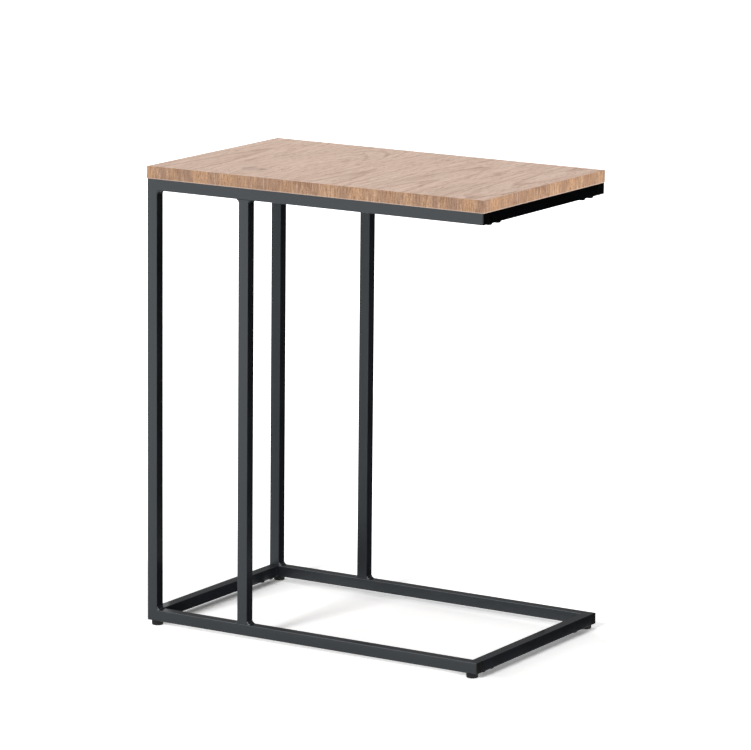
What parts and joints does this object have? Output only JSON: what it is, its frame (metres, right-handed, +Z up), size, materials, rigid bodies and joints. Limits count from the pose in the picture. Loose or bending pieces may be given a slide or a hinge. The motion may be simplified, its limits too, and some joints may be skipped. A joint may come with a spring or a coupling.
{
  "type": "c shaped side table",
  "caption": "C-shaped side table: a rectangular wood-effect top on a knock-down frame of black square tube, open at one end to slide over a seat, on screw-in levelling feet.",
  "frame": {"origin": "on the floor, under the middle of the table's outline", "axes": "+X along the table to its free end, +Y from front to back, +Z up"},
  "size_m": [0.55, 0.34, 0.667],
  "materials": {
    "wood_laminate": "matt wood-effect laminate, pale greyish oak",
    "backing_laminate": "plain matt balancing laminate",
    "chipboard": "raw chipboard, hidden under its skins",
    "edge_band": "matt wood-effect edge band, warm oak",
    "powder_coat": "satin charcoal-black powder coat, fine texture",
    "plug_plastic": "moulded black plastic",
    "black_bolt": "black-coated steel",
    "zinc_steel": "bright zinc plating",
    "foot_plastic": "moulded black plastic"
  },
  "bodies": {
    "table": {"top_core_board": "chipboard", "top_face_laminate": "wood_laminate", "top_backing_laminate": "backing_laminate", "top_edge_band_front": "edge_band", "top_edge_band_back": "edge_band", "top_edge_band_left": "edge_band", "top_edge_band_right": "edge_band", "front_left_upright": "powder_coat", "front_inner_upright": "powder_coat", "front_base_rail": "powder_coat", "front_top_rail": "powder_coat", "front_frame_welds": "powder_coat", "front_base_end_plug": "plug_plastic", "front_base_left_spigot": "powder_coat", "front_base_right_spigot": "powder_coat", "front_top_end_plug": "plug_plastic", "front_top_left_spigot": "powder_coat", "front_top_right_spigot": "powder_coat", "back_left_upright": "powder_coat", "back_inner_upright": "powder_coat", "back_base_rail": "powder_coat", "back_top_rail": "powder_coat", "back_frame_welds": "powder_coat", "back_base_end_plug": "plug_plastic", "back_base_left_spigot": "powder_coat", "back_base_right_spigot": "powder_coat", "back_top_end_plug": "plug_plastic", "back_top_left_spigot": "powder_coat", "back_top_right_spigot": "powder_coat", "base_left_cross_rail": "powder_coat", "base_right_cross_rail": "powder_coat", "top_left_cross_rail": "powder_coat", "top_right_cross_rail": "powder_coat", "cross_rail_bolts": "black_bolt", "top_screws": "zinc_steel", "foot_weld_nuts": "zinc_steel"},
    "front_left_stud": {"foot_stud_front_left": "zinc_steel"},
    "front_left_pad": {"foot_pad_front_left": "foot_plastic"},
    "front_right_stud": {"foot_stud_front_right": "zinc_steel"},
    "front_right_pad": {"foot_pad_front_right": "foot_plastic"},
    "back_left_stud": {"foot_stud_back_left": "zinc_steel"},
    "back_left_pad": {"foot_pad_back_left": "foot_plastic"},
    "back_right_stud": {"foot_stud_back_right": "zinc_steel"},
    "back_right_pad": {"foot_pad_back_right": "foot_plastic"}
  },
  "joints": [
    {"name": "front_left_foot_travel", "type": "slide", "parent": "table", "child": "front_left_stud", "axis": [0, 0, -1], "range_m": [0, 0.005]},
    {"name": "front_left_foot_turn", "type": "hinge", "parent": "front_left_stud", "child": "front_left_pad", "pos_m": [-0.2625, -0.1615, 0.0035], "axis": [0, 0, -1], "range_deg": [0, 1800]},
    {"name": "front_right_foot_travel", "type": "slide", "parent": "table", "child": "front_right_stud", "axis": [0, 0, -1], "range_m": [0, 0.005]},
    {"name": "front_right_foot_turn", "type": "hinge", "parent": "front_right_stud", "child": "front_right_pad", "pos_m": [0.2625, -0.1615, 0.0035], "axis": [0, 0, -1], "range_deg": [0, 1800]},
    {"name": "back_left_foot_travel", "type": "slide", "parent": "table", "child": "back_left_stud", "axis": [0, 0, -1], "range_m": [0, 0.005]},
    {"name": "back_left_foot_turn", "type": "hinge", "parent": "back_left_stud", "child": "back_left_pad", "pos_m": [-0.2625, 0.1615, 0.0035], "axis": [0, 0, -1], "range_deg": [0, 1800]},
    {"name": "back_right_foot_travel", "type": "slide", "parent": "table", "child": "back_right_stud", "axis": [0, 0, -1], "range_m": [0, 0.005]},
    {"name": "back_right_foot_turn", "type": "hinge", "parent": "back_right_stud", "child": "back_right_pad", "pos_m": [0.2625, 0.1615, 0.0035], "axis": [0, 0, -1], "range_deg": [0, 1800]}
  ],
  "couplings": [
    {"joint": "front_left_foot_turn", "follows": "front_left_foot_travel", "rad_per_m": 6283.2},
    {"joint": "front_right_foot_turn", "follows": "front_right_foot_travel", "rad_per_m": 6283.2},
    {"joint": "back_left_foot_turn", "follows": "back_left_foot_travel", "rad_per_m": 6283.2},
    {"joint": "back_right_foot_turn", "follows": "back_right_foot_travel", "rad_per_m": 6283.2}
  ]
}
